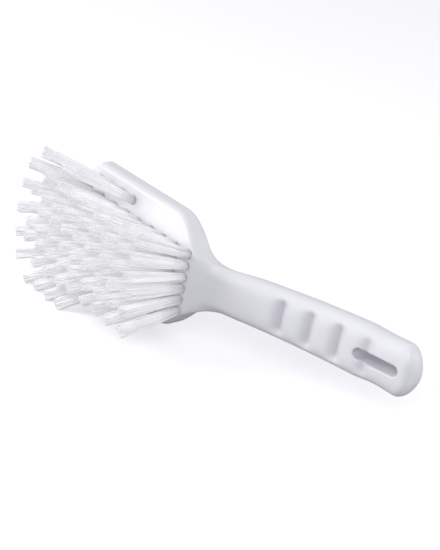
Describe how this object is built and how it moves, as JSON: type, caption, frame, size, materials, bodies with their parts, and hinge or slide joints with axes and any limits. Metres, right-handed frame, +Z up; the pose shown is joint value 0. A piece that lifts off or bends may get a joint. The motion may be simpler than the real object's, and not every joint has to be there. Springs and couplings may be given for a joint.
{
  "type": "churn brush",
  "caption": "One-piece moulded hand brush with a tilted, finger-grooved grip, a hanging slot and fanned stiff tufts for scrubbing churns and vats.",
  "frame": {"origin": "on the ground plane, under the middle of the brush's bounding box, with the brush lying on one side as in the picture", "axes": "+X from the head to the end of the handle, +Y out of the head's flat back so that the bristles point to -Y, +Z up across the width of the head"},
  "size_m": [0.2732, 0.1008, 0.0958],
  "materials": {
    "moulded_plastic": "satin white moulded polypropylene",
    "filament": "stiff translucent white filament"
  },
  "bodies": {
    "root": {"handle_and_head": "moulded_plastic", "tuft_ring_01": "filament", "tuft_ring_02": "filament", "tuft_ring_03": "filament", "tuft_ring_04": "filament", "tuft_ring_05": "filament", "tuft_ring_06": "filament", "tuft_ring_07": "filament", "tuft_ring_08": "filament", "tuft_ring_09": "filament", "tuft_ring_10": "filament", "tuft_ring_11": "filament", "tuft_ring_12": "filament", "tuft_ring_13": "filament", "tuft_row1_1": "filament", "tuft_row1_2": "filament", "tuft_row1_3": "filament", "tuft_row1_4": "filament", "tuft_row1_5": "filament", "tuft_row1_6": "filament", "tuft_row2_1": "filament", "tuft_row2_2": "filament", "tuft_row2_3": "filament", "tuft_row2_4": "filament", "tuft_row2_5": "filament", "tuft_row2_6": "filament", "tuft_row3_1": "filament", "tuft_row3_2": "filament", "tuft_row3_3": "filament", "tuft_row3_4": "filament", "tuft_row3_5": "filament", "tuft_row3_6": "filament", "tuft_row4_1": "filament", "tuft_row4_2": "filament", "tuft_row4_3": "filament", "tuft_row4_4": "filament", "tuft_row4_5": "filament", "tuft_row4_6": "filament", "tuft_row5_1": "filament", "tuft_row5_2": "filament", "tuft_row5_3": "filament", "tuft_row5_4": "filament", "tuft_row5_5": "filament", "tuft_row5_6": "filament", "tuft_row6_1": "filament", "tuft_row6_2": "filament", "tuft_row6_3": "filament", "tuft_row6_4": "filament", "tuft_row6_5": "filament", "tuft_row6_6": "filament", "tuft_row7_1": "filament", "tuft_row7_2": "filament", "tuft_row7_3": "filament", "tuft_row7_4": "filament", "tuft_row7_5": "filament", "tuft_row7_6": "filament", "tuft_row8_2": "filament", "tuft_row8_3": "filament", "tuft_row8_4": "filament", "tuft_row8_5": "filament"}
  },
  "joints": []
}
